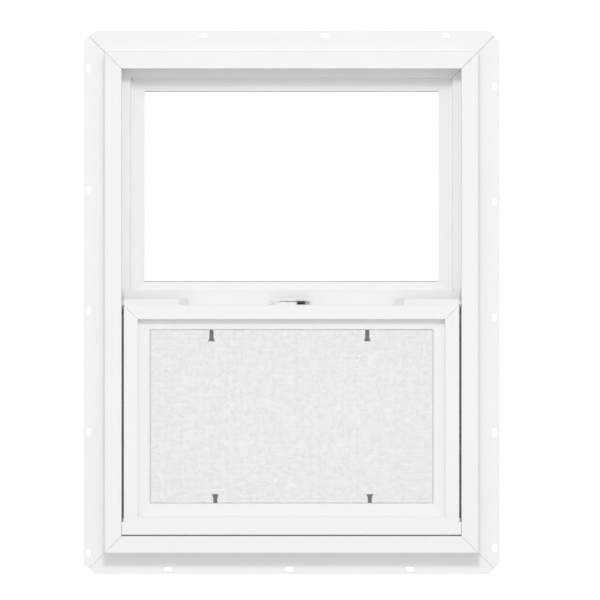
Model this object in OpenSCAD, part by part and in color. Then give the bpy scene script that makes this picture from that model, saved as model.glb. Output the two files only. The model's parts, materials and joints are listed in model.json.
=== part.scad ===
// Tilt-in single-hung window with a nail fin, in welded hollow vinyl.
// X runs along the sill, +Y goes from the room to the outdoors, +Z is up.
// The origin is the middle of the bottom fin's lower edge, on the fin's room-side plane.

/* [Frame] */
// Width of the frame, without the nail fin
frame_w = 596.9; // [480:0.1:1100]
// Height of the frame, without the nail fin
frame_h = 800.1; // [640:0.1:1500]
// Depth of the frame from the room side to the outdoor side
frame_d = 82.6; // [82:0.1:100]
// Thickness of the vinyl walls
wall = 2; // [1.6:0.1:2.4]
// Width of the flat casing that faces the room
face_w = 27.6; // [25:0.1:34]
// Distance from the casing face back to the fixed stop behind the sash
stop_y = 42; // [42:0.1:46]
// Width of the fixed stop inside the casing
stop_w = 13.95; // [12:0.05:18]
// Width of the narrow groove between the stop and the glazing bead
groove_w = 5.6; // [4:0.1:8]
// Radius of the frame's outer front edge
frame_round = 2.5; // [1:0.1:3]

/* [Nail fin] */
// Reach of the fin beyond the frame
fin_w = 34; // [28:0.5:40]
// Thickness of the fin
fin_t = 1.8; // [1.2:0.1:2.5]
// Setback of the fin's room-side plane from the casing face
fin_setback = 38; // [32:0.5:40]
// Size of the chamfer on the fin's corners
fin_corner = 18; // [8:0.5:24]
// Length of a nail slot
slot_l = 12.7; // [9:0.1:20]
// Width of a nail slot
slot_w = 6.4; // [4:0.1:8]
// Distance from the fin's edge to the middle of a slot
slot_edge = 8.2; // [7:0.1:12]
// Distance from one slot to the next on the left, top and bottom fins
slot_pitch = 193.2; // [120:0.1:240]
// Distance from one slot to the next on the right fin
slot_pitch_right = 184.2; // [120:0.1:240]

// Height of the lowest slot of the left fin
slot_first_left = 34.2; // [25:0.1:60]
// Height of the lowest slot of the right fin
slot_first_right = 42.2; // [25:0.1:60]
// Distance of the top fin's first slot from the fin's left edge
slot_first_top = 192; // [60:0.5:200]
// Distance of the bottom fin's first slot from the fin's left edge
slot_first_bottom = 135.3; // [60:0.1:200]

/* [Sash] */
// Gap between the closed sash and the sill's casing face
sill_gap = 1.5; // [0.4:0.1:4.4]
// Height of the sash from its lower edge to the top of its top rail
sash_h = 366.2; // [280:0.1:700]
// Depth of the sash
sash_d = 34.5; // [33:0.1:34.5]
// Setback of the sash face from the casing face
sash_y = 2.5; // [2.4:0.1:3]
// Gap between the sash and the casing on each side
side_gap = 3.5; // [3.5:0.05:5]
// Width of the sash stiles
stile_w = 22.6; // [20:0.1:30]
// Height of the sash top rail
top_rail_w = 22.1; // [20:0.1:30]
// Height of the sash bottom rail
bottom_rail_w = 29.3; // [27:0.1:40]
// Height of the raised lift band on the bottom rail
lift_band_h = 21.3; // [16:0.1:24]
// Longest way that the sash slides up
sash_travel = 330; // [200:1:330]

/* [Glass] */
// Thickness of one pane
pane_t = 2.4; // [2.4:0.1:3]
// Width of the air space between two panes
air_gap = 9.5; // [6:0.1:9.5]
// Width of a side bead on the sash
sash_bead_w = 18.8; // [15:0.1:24]
// Width of the sash's top bead
sash_bead_top_w = 16.4; // [15:0.1:24]
// Width of the sash's bottom bead
sash_bead_bottom_w = 21.2; // [15:0.1:24]
// Width of the side and head beads of the fixed upper glass
upper_bead_w = 16.7; // [14:0.1:20]
// Width of the bottom bead of the fixed upper glass
upper_bead_bottom_w = 14.3; // [13.5:0.1:20]

/* [Insect screen] */
// Width of a screen bar
screen_bar_w = 19; // [17:0.5:22]
// Thickness of a screen bar
screen_bar_t = 8; // [7:0.1:8.2]
// Width of a pull tab
tab_w = 6.7; // [5:0.1:10]
// Width of a pull tab's flared end
tab_flare_w = 9.9; // [8:0.1:14]

/* [Hardware] */
// Length of a tilt latch's housing
latch_l = 101; // [80:1:120]
// Height of a tilt latch's housing
latch_h = 10; // [9:0.1:12]
// Travel of a tilt latch's bolt
latch_travel = 8; // [5:0.5:9]
// Length of the sweep lock's base
lock_l = 70; // [60:1:80]
// Height of the sash pivot above the sash's lower edge
pivot_rise = 16.9; // [16:0.1:18]
// Setback of the sash pivot from the casing face
pivot_y = 18; // [17:0.1:18.5]
// Radius of the pivot bar
pivot_r = 3.5; // [3:0.1:3.5]
// Room left between a shoe and its coil balance when the sash is fully up
coil_gap = 20; // [10:1:30]

/* [Clearances] */
// Running clearance of the shoes in the balance channel
run_gap = 0.45; // [0.3:0.05:0.6]
// Radial clearance of the pivot bar in its shoe and of the lock spindle
bore_gap = 0.05; // [0.02:0.01:0.1]
// Depth and half width of the fine groove along a welded corner
weld_groove = 0.4; // [0.2:0.1:0.8]

/* [Hidden] */
$fn = 48;
vinyl = "white";
eps = 0.01;

// Frame outline
half_w = frame_w / 2;
fin_half = half_w + fin_w;
total_h = frame_h + 2 * fin_w;
frame_z1 = fin_w + frame_h;
corner_reach = 100;
stop_u = face_w + stop_w;
pocket_u = stop_u + groove_w;
leg_u = pocket_u + 11.85;
groove_y = stop_y + 16;
leg_y = frame_d - 4.6;
leg_t = 1.4;
chamber_web_y = groove_y + 5;
casing_x = half_w - face_w;

// Balance channel in the jambs
lip_t = 2.2;
front_lip_y = 5;
rear_lip_y = 22;
channel_back_y = 27;
channel_x0 = casing_x + lip_t;
channel_x1 = half_w - wall;

// Sill track
sill_track_front = 20.5;
sill_track_back = 17;

// Glazing beads
bead_rise = 3.9;
bead_nose = 2;
bead_leg = bead_rise + 0.5;
bead_t = 1.6;

// Sash outline
sash_x = casing_x - side_gap;
sash_z = fin_w + face_w + sill_gap;
sash_z1 = sash_z + sash_h;
sash_back = sash_y + sash_d;
band_y = 0.2;
band_x = casing_x - 0.5;
front_chamfer = 2;
rear_chamfer = 5;
sash_leg_t = 2;
sash_leg_over = 13.4;
pane_inset = 4.4;
unit_t = 2 * pane_t + air_gap;
sash_glass_y = sash_back - sash_leg_t - unit_t;
sash_bead_y = sash_glass_y - bead_rise;
sash_gasket_t = 0.5;
pivot_z = sash_z + pivot_rise;

// Sash glass pocket, as [left, bottom, right, top] on the sash face
sash_outline = [-sash_x, sash_z, sash_x, sash_z1];
sash_pocket = [-sash_x + stile_w, sash_z + bottom_rail_w, sash_x - stile_w, sash_z1 - top_rail_w];
sash_sight = [sash_pocket[0] + sash_bead_w, sash_pocket[1] + sash_bead_bottom_w,
  sash_pocket[2] - sash_bead_w, sash_pocket[3] - sash_bead_top_w];
sash_unit = grow(sash_pocket, -pane_inset);

// Meeting rail, tied to the closed sash's top
rail_y = 38;
rail_wall_t = wall;
rail_z1 = sash_z1 + 23.6;
rail_z0 = sash_z1 - 18.3;
rail_lip_z = rail_z0 - 9;
rail_screen_lip_t = 1.4;
rail_fit = 0.1;

// Fixed upper glass
upper_outline = [-half_w + pocket_u, rail_z1, half_w - pocket_u, frame_z1 - pocket_u];
upper_sight = [upper_outline[0] + upper_bead_w, upper_outline[1] + upper_bead_bottom_w,
  upper_outline[2] - upper_bead_w, upper_outline[3] - upper_bead_w];
upper_unit = grow(upper_outline, -pane_inset + 0.4);
upper_glass_y = leg_y - unit_t;
upper_bead_y = upper_glass_y - bead_rise;
spacer_inset = 3;
spacer_w = 8;
block_l = 60;

// Insect screen
screen_gap = 1;
screen_y = leg_y - 0.3 - screen_bar_t;
screen_outline = [-half_w + pocket_u + screen_gap, fin_w + pocket_u + 0.3,
  half_w - pocket_u - screen_gap, rail_z0 - 0.4];
screen_wall_t = 0.8;
screen_tube_w = screen_bar_w - 6;
spline_r = 2;
spline_in = screen_tube_w + 2.6;
mesh_t = 0.3;
mesh_y = screen_y + 1.4;
tab_t = 0.8;
tab_y = mesh_y - tab_t - 0.05;
tab_flare_l = 3.2;
tab_top_x = [-128, 121];
tab_bottom_x = [-122, 125];
tab_top_show = 19.2;
tab_bottom_show = 13.9;

// Coil balances and pivot shoes
shoe_x0 = channel_x0 + run_gap;
shoe_x1 = channel_x1 - run_gap;
shoe_y0 = wall + run_gap;
shoe_y1 = channel_back_y - run_gap;
shoe_z0 = pivot_z - 14;
shoe_h = 36;
coil_x0 = channel_x1 - 15.5;
coil_z0 = shoe_z0 + shoe_h + sash_travel + coil_gap;
coil_h = 60;
ribbon_x = channel_x1 - 8;
ribbon_t = 0.3;
ribbon_w = 12;
ribbon_y = (shoe_y0 + shoe_y1) / 2;
pivot_bar_in = 22;
pivot_bar_out = 16;
pivot_plate = 18;
pivot_plate_t = 1.5;

// Tilt latches on the sash top rail
latch_y0 = 6;
latch_y1 = 30;
latch_wall = 1.5;
bolt_y0 = 8.5;
bolt_y1 = 19.5;
bolt_l = 78;
bolt_tip_gap = 0.45;
bolt_z0 = sash_z1 + 1.2;
bolt_h = latch_h - latch_wall - 1.6;
knob_l = 12;
knob_x = latch_l - 34;
latch_slant = 14;
screw_r = 2;
screw_head_r = 3.4;

// Sweep lock in the middle of the sash top rail
lock_y = 14;
lock_plate_t = 1;
lock_boss_h = 5.3;
lock_boss_r = 9.5;
lock_spindle_r = 3;
cam_plate_t = 1.3;
cam_in = 10.3;
cam_black_r = 21.5;
cam_tip_r = 28.4;
cam_half_w = 4;
cam_z0 = sash_z1 + lock_plate_t + 0.3;
cam_z1 = sash_z1 + lock_boss_h + 0.2;
lever_l = 34;
lever_t = 2.4;
keeper_t = 0.6;
keeper_half = 34;

// A rectangle [left, bottom, right, top] made larger on all sides by d.
function grow(r, d) = [r[0] - d, r[1] - d, r[2] + d, r[3] + d];
// The corners of a rectangle, from the lower left, anticlockwise.
function corners(r) = [[r[0], r[1]], [r[2], r[1]], [r[2], r[3]], [r[0], r[3]]];
// How many slots of a pitch fit in a length after the first.
function slot_count(first, length, pitch) = floor((length - first - fin_w) / pitch) + 1;

// The places of a row of slots along a fin.
function slot_row(first, length, pitch) =
  [for (i = [0 : slot_count(first, length, pitch) - 1]) first + i * pitch];

slots_left = slot_row(slot_first_left, total_h, slot_pitch);
slots_right = slot_row(slot_first_right, total_h, slot_pitch_right);
slots_top = slot_row(slot_first_top, 2 * fin_half, slot_pitch);
slots_bottom = slot_row(slot_first_bottom, 2 * fin_half, slot_pitch);

// ---------- helpers ----------

// Sets a piece drawn from the casing face back to the fin's plane.
module placed() { translate([0, -fin_setback, 0]) children(); }
// A flat outline on the window's face, given depth from y0 to y1.
module slab(y0, y1) { translate([0, y1, 0]) rotate([90, 0, 0]) linear_extrude(y1 - y0) children(); }
module rect(r) { translate([r[0], r[1]]) square([r[2] - r[0], r[3] - r[1]]); }
module ring(outer, inner) { difference() { rect(outer); rect(inner); } }
// A plate on the window's face, from y0 to y1.
module plate(r, y0, y1) { slab(y0, y1) rect(r); }
// One side of a mitred rectangle: 0 bottom, 1 right, 2 top, 3 left.
module mitre_side(outer, inner, side) {
  o = corners(outer);
  i = corners(inner);
  n = (side + 1) % 4;
  polygon([o[side], o[n], i[n], i[side]]);
}
module mitred(outer, inner, side) {
  intersection() {
    children();
    slab(-1, frame_d + 1) mitre_side(outer, inner, side);
  }
}
// A profile drawn as (inward, depth), run up the left side, along the bottom and mirrored.
module run_left(outer) {
  translate([outer[0], 0, outer[1]]) linear_extrude(outer[3] - outer[1]) children();
}
module run_right(outer) {
  translate([outer[2], 0, outer[1]]) mirror([1, 0, 0]) linear_extrude(outer[3] - outer[1]) children();
}
module run_bottom(outer) {
  translate([outer[2], 0, outer[1]]) rotate([0, -90, 0]) linear_extrude(outer[2] - outer[0]) children();
}
module run_top(outer) {
  translate([0, 0, outer[3]]) mirror([0, 0, 1]) translate([0, 0, -outer[1]]) run_bottom(outer) children();
}
// Takes a square corner off at a point and leaves an arc; dx and dy point into the material.
module round_off(at, r, dx, dy) {
  translate(at) difference() {
    translate([dx > 0 ? -eps : -r, dy > 0 ? -eps : -r]) square(r + eps);
    translate([dx * r, dy * r]) circle(r);
  }
}
// A slot through the fin: a straight stretch with a round end at each side.
module slot_cut(x, z, upright) {
  run = (slot_l - slot_w) / 2;
  step = upright ? [0, 0, 1] : [1, 0, 0];
  side = upright ? [slot_w, fin_t + 2, 2 * run] : [2 * run, fin_t + 2, slot_w];
  translate([x, fin_setback + fin_t / 2, z]) {
    for (s = [-1, 1]) translate(step * s * run) rotate([90, 0, 0])
      cylinder(h = fin_t + 2, d = slot_w, center = true);
    cube(side, center = true);
  }
}
// The fine groove along a welded corner at the lower left, on a face at depth y.
module weld_groove_cut(from, length, y) {
  g = weld_groove;
  translate([-fin_half + from, y, from]) rotate([0, -45, 0])
    translate([0, -g, -g]) cube([length * sqrt(2), 2 * g, 2 * g]);
}
module corner_cuts() {
  over = 2;
  weld_groove_cut(-over, fin_w + over - 1.2, fin_setback);
  weld_groove_cut(fin_w - over, face_w + 2 * over, 0);
  slab(fin_setback - 1, fin_setback + fin_t + 1)
    polygon([[-fin_half - 1, -1], [-fin_half + fin_corner, -1], [-fin_half + fin_corner, 0],
      [-fin_half, fin_corner], [-fin_half - 1, fin_corner]]);
}
module all_corner_cuts() {
  for (sx = [0, 1]) mirror([sx, 0, 0]) {
    corner_cuts();
    translate([0, 0, total_h]) mirror([0, 0, 1]) corner_cuts();
  }
}

// ---------- frame ----------

// Walls that all four sides of the frame share, as (inward, depth).
module frame_walls() {
  square([wall, frame_d]);
  square([face_w, wall]);
  translate([-fin_w, fin_setback]) square([fin_w + eps, fin_t]);
  translate([0, stop_y]) square([stop_u, wall]);
  translate([stop_u - wall, stop_y]) square([wall, groove_y + wall - stop_y]);
  translate([stop_u - wall, groove_y]) square([groove_w + wall, wall]);
  translate([pocket_u - wall, groove_y]) square([wall, frame_d - groove_y]);
  translate([0, chamber_web_y]) square([pocket_u, wall]);
  translate([0, frame_d - wall]) square([leg_u, wall]);
  translate([pocket_u - wall, leg_y]) square([leg_u - pocket_u + wall, leg_t]);
  translate([leg_u - leg_t, leg_y]) square([leg_t, frame_d - leg_y]);
}
module frame_edges() {
  round_off([0, 0], frame_round, 1, 1);
  round_off([face_w, 0], 0.6, -1, 1);
  round_off([stop_u, stop_y], 0.6, -1, 1);
  round_off([leg_u, frame_d], 0.6, -1, -1);
  round_off([0, frame_d], 0.6, 1, -1);
}
module jamb_profile() {
  difference() {
    union() {
      frame_walls();
      translate([face_w - lip_t, 0]) square([lip_t, front_lip_y]);
      translate([0, channel_back_y]) square([face_w, wall]);
      translate([face_w - lip_t, rear_lip_y]) square([lip_t, stop_y + wall - rear_lip_y]);
    }
    frame_edges();
  }
}
module head_profile() {
  difference() {
    union() {
      frame_walls();
      translate([face_w - wall, 0]) square([wall, stop_y + wall]);
    }
    frame_edges();
  }
}
module sill_profile() {
  difference() {
    union() {
      frame_walls();
      polygon([[sill_track_front - wall, 0], [sill_track_front, 0],
        [sill_track_back, stop_y + wall], [sill_track_back - wall, stop_y + wall]]);
    }
    frame_edges();
  }
}
frame_outline = [-fin_half, 0, fin_half, total_h];
module frame_piece(side) {
  difference() {
    mitred(frame_outline, grow(frame_outline, -corner_reach), side) children();
    all_corner_cuts();
  }
}
module jamb(sx, slots) {
  mirror([sx, 0, 0]) difference() {
    frame_piece(3) run_left([-half_w, 0, half_w, total_h]) jamb_profile();
    for (z = slots) slot_cut(-fin_half + slot_edge, z, true);
  }
}
module frame_jamb_left() { color(vinyl) placed() jamb(0, slots_left); }
module frame_jamb_right() { color(vinyl) placed() jamb(1, slots_right); }
module frame_head() {
  color(vinyl) placed() difference() {
    frame_piece(2) run_top([-fin_half, fin_w, fin_half, frame_z1]) head_profile();
    for (x = slots_top) slot_cut(x - fin_half, total_h - slot_edge, false);
  }
}
module frame_sill() {
  weep_l = 25;
  weep_h = 4;
  color(vinyl) placed() difference() {
    frame_piece(0) run_bottom([-fin_half, fin_w, fin_half, frame_z1]) sill_profile();
    for (x = slots_bottom) slot_cut(x - fin_half, slot_edge, false);
    for (sx = [-1, 1])
      translate([sx * (half_w - 90) - weep_l / 2, frame_d - wall - 1, fin_w + wall + 4])
        cube([weep_l, wall + 2, weep_h]);
  }
}

// ---------- meeting rail ----------

// Drawn as (height, depth), because a bottom run takes height inward.
module rail_profile() {
  lip_y0 = screen_y - rail_screen_lip_t - 0.3;
  translate([rail_z0, rail_y]) square([rail_z1 - rail_z0, rail_wall_t]);
  translate([rail_z1 - wall, rail_y]) square([wall, frame_d - rail_y]);
  translate([rail_z0, rail_y]) square([wall, frame_d - rail_y]);
  translate([rail_z0, groove_y]) square([rail_z1 - rail_z0, wall]);
  translate([rail_lip_z, frame_d - wall]) square([rail_z1 + 11.85 - rail_lip_z, wall]);
  translate([rail_z1 - wall, leg_y]) square([11.85 + wall, leg_t]);
  translate([rail_z1 + 11.85 - leg_t, leg_y]) square([leg_t, frame_d - leg_y]);
  translate([rail_lip_z, lip_y0]) square([rail_z0 + eps - rail_lip_z, rail_screen_lip_t]);
  translate([rail_lip_z, leg_y]) square([rail_z0 + eps - rail_lip_z, leg_t]);
}
module rail_plan() {
  module band(x, y0, y1) { translate([-x, y0]) square([2 * x, y1 - y0]); }
  band(casing_x - 2.4, rail_y, rail_y + rail_wall_t + eps);
  band(half_w - stop_u - rail_fit, rail_y, groove_y);
  band(half_w - pocket_u - rail_fit, groove_y - eps, leg_y);
  band(half_w - leg_u - rail_fit, leg_y - eps, frame_d);
}
module meeting_rail() {
  color(vinyl) placed() difference() {
    intersection() {
      run_bottom([-half_w, 0, half_w, total_h]) rail_profile();
      linear_extrude(total_h) rail_plan();
    }
    keeper_window(rail_y - 1, rail_y + rail_wall_t + 1);
    for (x = [-1, 1]) screw_hole(x);
  }
}
// The slot that the lock's cam swings into.
module keeper_window(y0, y1) {
  plate([-cam_half_w - 4, sash_z1 + 0.4, cam_tip_r - 4, cam_z1 + lever_t - 0.8], y0, y1);
}
module screw_hole(sx) {
  translate([sx * (keeper_half - 4), rail_y - 1, sash_z1 + 4]) rotate([-90, 0, 0])
    cylinder(h = 8, r = screw_r);
}
module lock_keeper() {
  color(vinyl) placed() difference() {
    plate([-keeper_half, sash_z1 - 2, keeper_half, sash_z1 + 9.5], rail_y - keeper_t, rail_y);
    keeper_window(rail_y - 1, rail_y + 1);
    for (x = [-1, 1]) screw_hole(x);
  }
}
module keeper_screws() {
  color("silver") placed() for (sx = [-1, 1])
    translate([sx * (keeper_half - 4), rail_y - keeper_t, sash_z1 + 4]) rotate([-90, 0, 0])
      cylinder(h = 7, r = screw_r);
}
module meeting_rail_pile() {
  color("gray") placed()
    plate([-sash_x + 12, rail_z0 + 4, sash_x - 12, rail_z0 + 9], sash_back + 0.3, rail_y);
}

// ---------- glass units ----------

module pane(unit, y) { color([0.85, 0.95, 0.93, 0.35]) placed() plate(unit, y, y + pane_t); }
module spacer(unit, y) {
  outer = grow(unit, -spacer_inset);
  color("silver") placed() slab(y + pane_t, y + pane_t + air_gap) ring(outer, grow(outer, -spacer_w));
}
module blocks(unit, floor_z, y) {
  for (sx = [-1, 1])
    translate([sx * (unit[2] / 2) - block_l / 2, y + 1, floor_z]) cube([block_l, unit_t - 2, unit[1] - floor_z]);
}
module sash_inner_pane() { pane(sash_unit, sash_glass_y); }
module sash_outer_pane() { pane(sash_unit, sash_glass_y + pane_t + air_gap); }
module sash_glass_spacer() { spacer(sash_unit, sash_glass_y); }
module sash_setting_blocks() { color("dimgray") placed() blocks(sash_unit, sash_pocket[1], sash_glass_y); }
module upper_inner_pane() { pane(upper_unit, upper_glass_y); }
module upper_outer_pane() { pane(upper_unit, upper_glass_y + pane_t + air_gap); }
module upper_glass_spacer() { spacer(upper_unit, upper_glass_y); }
module upper_setting_blocks() { color("dimgray") placed() blocks(upper_unit, rail_z1, upper_glass_y); }

// A snap-in bead as (inward, depth): a sloping face, a nose on the glass and a leg in the pocket.
module bead_profile(w, y_out, y_in, nose, leg) {
  difference() {
    polygon([[0, y_out], [w, y_in - nose], [w, y_in], [w - 3, y_in], [w - 3, y_in - nose + bead_t],
      [bead_t, y_out + bead_t], [bead_t, y_out + leg], [0, y_out + leg]]);
    round_off([w, y_in - nose], 0.4, -1, 1);
  }
}
module bead(outer, inner, side, w, y_out, y_in) {
  color(vinyl) placed() mitred(outer, inner, side) {
    if (side == 0) run_bottom(outer) bead_profile(w, y_out, y_in, bead_nose, bead_leg);
    if (side == 1) run_right(outer) bead_profile(w, y_out, y_in, bead_nose, bead_leg);
    if (side == 2) run_top(outer) bead_profile(w, y_out, y_in, bead_nose, bead_leg);
    if (side == 3) run_left(outer) bead_profile(w, y_out, y_in, bead_nose, bead_leg);
  }
}
module upper_bead(side, w) { bead(upper_outline, upper_sight, side, w, upper_bead_y, upper_glass_y); }
module upper_bead_bottom() { upper_bead(0, upper_bead_bottom_w); }
module upper_bead_right() { upper_bead(1, upper_bead_w); }
module upper_bead_top() { upper_bead(2, upper_bead_w); }
module upper_bead_left() { upper_bead(3, upper_bead_w); }
module sash_bead(side, w) {
  bead(sash_pocket, sash_sight, side, w, sash_bead_y, sash_glass_y - sash_gasket_t);
}
module sash_bead_bottom() { sash_bead(0, sash_bead_bottom_w); }
module sash_bead_right() { sash_bead(1, sash_bead_w); }
module sash_bead_top() { sash_bead(2, sash_bead_top_w); }
module sash_bead_left() { sash_bead(3, sash_bead_w); }
module sash_glazing_gasket() {
  color("black") placed() slab(sash_glass_y - sash_gasket_t, sash_glass_y)
    ring(grow(sash_sight, 2.5), grow(sash_sight, -0.7));
}

// ---------- sash ----------

// Stile and top rail walls as (inward, depth), w wide.
module sash_profile(w) {
  difference() {
    union() {
      translate([0, sash_y]) square([wall, sash_d]);
      translate([0, sash_y]) square([w, wall]);
      translate([w - wall, sash_y]) square([wall, sash_d]);
      translate([0, sash_back - sash_leg_t]) square([w + sash_leg_over, sash_leg_t]);
      translate([0, sash_y + sash_d / 2]) square([w, wall]);
    }
    round_off([0, sash_y], 0.8, 1, 1);
    round_off([w, sash_y], 0.6, -1, 1);
    round_off([w + sash_leg_over, sash_back], 0.6, -1, -1);
    round_off([0, sash_back], 0.8, 1, -1);
  }
}
module bottom_rail_profile() {
  w = bottom_rail_w;
  difference() {
    union() {
      translate([0, band_y]) square([wall, sash_back - band_y]);
      translate([0, band_y]) square([lift_band_h, wall]);
      translate([lift_band_h - wall, band_y]) square([wall, sash_y + wall - band_y]);
      translate([lift_band_h - wall, sash_y]) square([w - lift_band_h + wall, wall]);
      translate([w - wall, sash_y]) square([wall, sash_d]);
      translate([0, sash_back - sash_leg_t]) square([w + sash_leg_over, sash_leg_t]);
      polygon([[0, sash_back], [0, sash_back - 8], [8, sash_back]]);
    }
    polygon([[-1, band_y - 1], [front_chamfer + 1, band_y - 1], [front_chamfer, band_y],
      [0, band_y + front_chamfer], [-1, band_y + front_chamfer]]);
    polygon([[-1, sash_back + 1], [rear_chamfer, sash_back + 1], [rear_chamfer, sash_back],
      [0, sash_back - rear_chamfer], [-1, sash_back - rear_chamfer]]);
    round_off([lift_band_h, band_y], 0.8, -1, 1);
    round_off([w + sash_leg_over, sash_back], 0.6, -1, -1);
  }
}
// The rail's outline without its hollows, for the closed ends.
module bottom_rail_end() {
  polygon([[0, band_y + front_chamfer], [front_chamfer, band_y], [lift_band_h, band_y],
    [lift_band_h, sash_y], [bottom_rail_w, sash_y], [bottom_rail_w, sash_back],
    [rear_chamfer, sash_back], [0, sash_back - rear_chamfer]]);
}
module sash_bottom_rail() {
  leg_half = sash_pocket[2] - sash_leg_over;
  color(vinyl) placed() difference() {
    union() {
      intersection() {
        run_bottom([-sash_x, sash_z, sash_x, sash_z1]) bottom_rail_profile();
        slab(-1, frame_d) {
          rect([-sash_x, sash_z, sash_x, sash_pocket[1]]);
          rect([-leg_half, sash_z, leg_half, sash_z1]);
        }
      }
      for (sx = [0, 1]) mirror([sx, 0, 0]) {
        run_bottom([sash_x - wall, sash_z, sash_x, sash_z1]) bottom_rail_end();
        run_bottom([sash_x - eps, sash_z, band_x, sash_z1]) intersection() {
          bottom_rail_profile();
          translate([0, band_y]) square([lift_band_h, wall]);
        }
      }
    }
    translate([-sash_x - 1, pivot_y, pivot_z]) rotate([0, 90, 0])
      cylinder(h = 2 * sash_x + 2, r = pivot_r);
  }
}
// The three mitred sides share corners that run on past the inner edge to the glazing leg.
corner_k = 1.75;
sash_inner = [-sash_x + corner_k * stile_w, sash_z - 100, sash_x - corner_k * stile_w,
  sash_z1 - corner_k * top_rail_w];
module sash_groove(sx) {
  g = weld_groove;
  over = 2;
  translate([sx * sash_x, sash_y, sash_z1]) rotate([0, sx > 0 ? 135 : 45, 0])
    translate([-over, -g, -g]) cube([stile_w * sqrt(2) + 2 * over, 2 * g, 2 * g]);
}
module stile(sx) {
  mirror([sx, 0, 0]) difference() {
    intersection() {
      run_left([-sash_x, sash_pocket[1], sash_x, sash_z1]) sash_profile(stile_w);
      slab(-1, frame_d) polygon([[-sash_x, sash_pocket[1]], [-sash_x, sash_z1],
        [sash_inner[0], sash_inner[3]], [sash_inner[0], sash_pocket[1]]]);
    }
    sash_groove(-1);
  }
}
module sash_stile_left() { color(vinyl) placed() stile(0); }
module sash_stile_right() { color(vinyl) placed() stile(1); }
module sash_top_rail() {
  color(vinyl) placed() difference() {
    intersection() {
      run_top([-sash_x, sash_z, sash_x, sash_z1]) sash_profile(top_rail_w);
      slab(-1, frame_d) polygon([[-sash_x, sash_z1], [sash_x, sash_z1],
        [sash_inner[2], sash_inner[3]], [sash_inner[0], sash_inner[3]]]);
    }
    for (sx = [-1, 1]) sash_groove(sx);
    latch_screw_shafts();
    lock_screw_shafts();
  }
}
module sash_side_piles() {
  color("gray") placed() for (sx = [0, 1]) mirror([sx, 0, 0])
    translate([sash_x, sash_back - 8, sash_pocket[1] + 4])
      cube([side_gap - 0.35, 4, sash_pocket[3] - sash_pocket[1]]);
}
module sash_bottom_pile() {
  color("gray") placed() plate([-half_w + stop_u + 4, sash_z + 8, half_w - stop_u - 4, sash_z + 11],
    sash_back, stop_y - 1.2);
}

// ---------- pivots and balances ----------

module pivot_bar(sx) {
  color("silver") placed() mirror([sx, 0, 0]) {
    translate([sash_x - pivot_bar_in, pivot_y, pivot_z]) rotate([0, 90, 0])
      cylinder(h = pivot_bar_in + side_gap + pivot_bar_out, r = pivot_r);
    translate([sash_x, pivot_y - pivot_plate / 2, pivot_z - pivot_plate / 2 + 1])
      cube([pivot_plate_t, pivot_plate, pivot_plate]);
  }
}
module pivot_bar_left() { pivot_bar(1); }
module pivot_bar_right() { pivot_bar(0); }
module pivot_shoe(sx) {
  color("dimgray") placed() mirror([sx, 0, 0]) difference() {
    translate([shoe_x0, shoe_y0, shoe_z0]) cube([shoe_x1 - shoe_x0, shoe_y1 - shoe_y0, shoe_h]);
    translate([shoe_x0 - 1, pivot_y, pivot_z]) rotate([0, 90, 0])
      cylinder(h = shoe_x1 - shoe_x0 + 2, r = pivot_r + bore_gap);
    // Grooves that let the shoe flex as its brake locks.
    for (z = [shoe_z0 + 6, shoe_z0 + shoe_h - 8])
      translate([shoe_x0 - 1, shoe_y0 - 1, z]) cube([3, shoe_y1 - shoe_y0 + 2, 2]);
  }
}
module pivot_shoe_left() { pivot_shoe(1); }
module pivot_shoe_right() { pivot_shoe(0); }
module coil_balance(sx) {
  drum_r = (shoe_y1 - shoe_y0) / 2 - 1;
  color("gainsboro") placed() mirror([sx, 0, 0]) difference() {
    translate([coil_x0, shoe_y0, coil_z0]) cube([channel_x1 - coil_x0, shoe_y1 - shoe_y0, coil_h]);
    translate([coil_x0 - 1, ribbon_y, coil_z0 + drum_r + 3]) rotate([0, 90, 0])
      cylinder(h = 3, r = drum_r);
    translate([coil_x0 - 1, ribbon_y, coil_z0 + coil_h - 10]) rotate([0, 90, 0])
      cylinder(h = 5, r = screw_head_r);
  }
}
module coil_balance_left() { coil_balance(1); }
module coil_balance_right() { coil_balance(0); }
module balance_ribbon(sx) {
  color("silver") placed() mirror([sx, 0, 0])
    translate([ribbon_x, ribbon_y - ribbon_w / 2, shoe_z0 + shoe_h])
      cube([ribbon_t, ribbon_w, coil_z0 - shoe_z0 - shoe_h]);
}
module balance_ribbon_left() { balance_ribbon(1); }
module balance_ribbon_right() { balance_ribbon(0); }

// ---------- insect screen ----------

module screen_profile() {
  t = screen_wall_t;
  difference() {
    translate([0, screen_y]) square([screen_tube_w, screen_bar_t]);
    translate([t, screen_y + t]) square([screen_tube_w - 2 * t, screen_bar_t - 2 * t]);
  }
  translate([screen_tube_w - eps, screen_y + screen_bar_t - 2])
    square([screen_bar_w - screen_tube_w + eps, t]);
  translate([screen_bar_w - t, mesh_y + mesh_t])
    square([t, screen_y + screen_bar_t - 2 + t - mesh_y - mesh_t]);
}
module screen_bar(side) {
  color("whitesmoke") placed()
    mitred(screen_outline, grow(screen_outline, -screen_bar_w - 1), side) {
      if (side == 0) run_bottom(screen_outline) screen_profile();
      if (side == 1) run_right(screen_outline) screen_profile();
      if (side == 2) run_top(screen_outline) screen_profile();
      if (side == 3) run_left(screen_outline) screen_profile();
    }
}
module screen_bar_bottom() { screen_bar(0); }
module screen_bar_right() { screen_bar(1); }
module screen_bar_top() { screen_bar(2); }
module screen_bar_left() { screen_bar(3); }
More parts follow.
